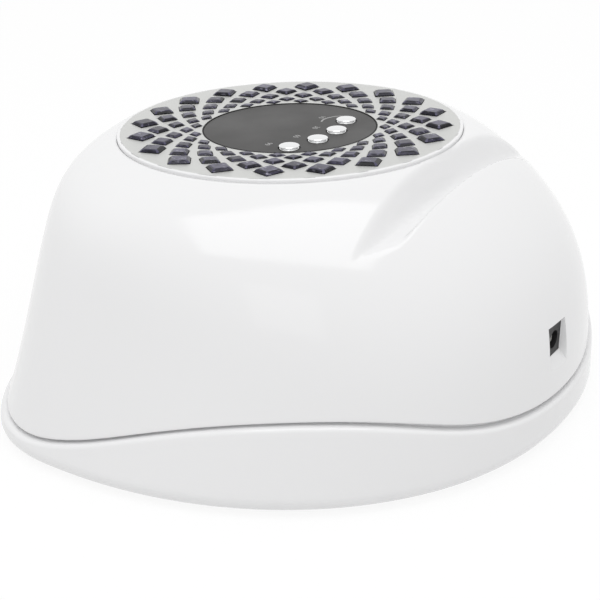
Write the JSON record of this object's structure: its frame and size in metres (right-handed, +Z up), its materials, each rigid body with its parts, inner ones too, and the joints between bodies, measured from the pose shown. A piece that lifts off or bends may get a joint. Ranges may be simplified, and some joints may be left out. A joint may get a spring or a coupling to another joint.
{
  "type": "nail lamp",
  "caption": "Domed nail-gel curing lamp with a jewelled control disc on top, press buttons, a lit hood over the hand space, a slide-out floor tray and a rear power inlet.",
  "frame": {"origin": "on the ground under the middle of the footprint's bounding box", "axes": "+Z up, -Y out of the hand space's mouth, +X to the lamp's left as a user facing the mouth would call right"},
  "size_m": [0.2344, 0.1962, 0.0958],
  "materials": {
    "board_green": "satin",
    "button_chrome": "gloss",
    "foot_rubber": "matte",
    "gasket_black": "matte",
    "gem_smoke": "gloss",
    "hood_white": "gloss",
    "jack_black": "matte",
    "jack_pin": "gloss",
    "led_board": "satin",
    "led_lens": "gloss",
    "magnet": "satin",
    "panel_grey": "satin",
    "plunger_white": "matte",
    "screw_steel": "satin",
    "sensor_black": "gloss",
    "switch_black": "matte",
    "trim_silver": "satin metallic",
    "white_gloss": "gloss"
  },
  "bodies": {
    "housing": {"base_magnets": "magnet", "base_shell": "white_gloss", "carrier_screws": "screw_steel", "case_screws": "screw_steel", "control_board": "board_green", "control_board_screws": "screw_steel", "control_panel": "panel_grey", "dc_jack": "jack_black", "dc_jack_pin": "jack_pin", "disc_carrier": "white_gloss", "display_module": "switch_black", "gem_insert": "gem_smoke", "hood_reflector": "hood_white", "hood_screws": "screw_steel", "jack_board": "board_green", "jack_board_screws": "screw_steel", "led_board_left": "led_board", "led_board_rear": "led_board", "led_board_right": "led_board", "led_board_screws": "screw_steel", "led_board_top": "led_board", "led_lenses_left": "led_lens", "led_lenses_rear": "led_lens", "led_lenses_right": "led_lens", "led_lenses_top": "led_lens", "panel_gasket": "gasket_black", "push_switches": "switch_black", "rubber_feet": "foot_rubber", "sensor_windows": "sensor_black", "trim_disc": "trim_silver", "upper_shell": "white_gloss"},
    "tray": {"base_tray": "white_gloss", "tray_magnets": "magnet"},
    "button_10s": {"button_10s": "button_chrome", "switch_plunger_10s": "plunger_white"},
    "button_30s": {"button_30s": "button_chrome", "switch_plunger_30s": "plunger_white"},
    "button_60s": {"button_60s": "button_chrome", "switch_plunger_60s": "plunger_white"},
    "button_99s": {"button_99s": "button_chrome", "switch_plunger_99s": "plunger_white"}
  },
  "joints": [
    {"name": "tray_slide", "type": "slide", "parent": "housing", "child": "tray", "axis": [0, -1, 0], "range_m": [0, 0.12]},
    {"name": "press_10s", "type": "slide", "parent": "housing", "child": "button_10s", "axis": [0, 0.0262, -0.9997], "range_m": [0, 0.0005], "stiffness_N_per_m": 800, "springref_m": -0.001},
    {"name": "press_30s", "type": "slide", "parent": "housing", "child": "button_30s", "axis": [0, 0.0262, -0.9997], "range_m": [0, 0.0005], "stiffness_N_per_m": 800, "springref_m": -0.001},
    {"name": "press_60s", "type": "slide", "parent": "housing", "child": "button_60s", "axis": [0, 0.0262, -0.9997], "range_m": [0, 0.0005], "stiffness_N_per_m": 800, "springref_m": -0.001},
    {"name": "press_99s", "type": "slide", "parent": "housing", "child": "button_99s", "axis": [0, 0.0262, -0.9997], "range_m": [0, 0.0005], "stiffness_N_per_m": 800, "springref_m": -0.001}
  ]
}
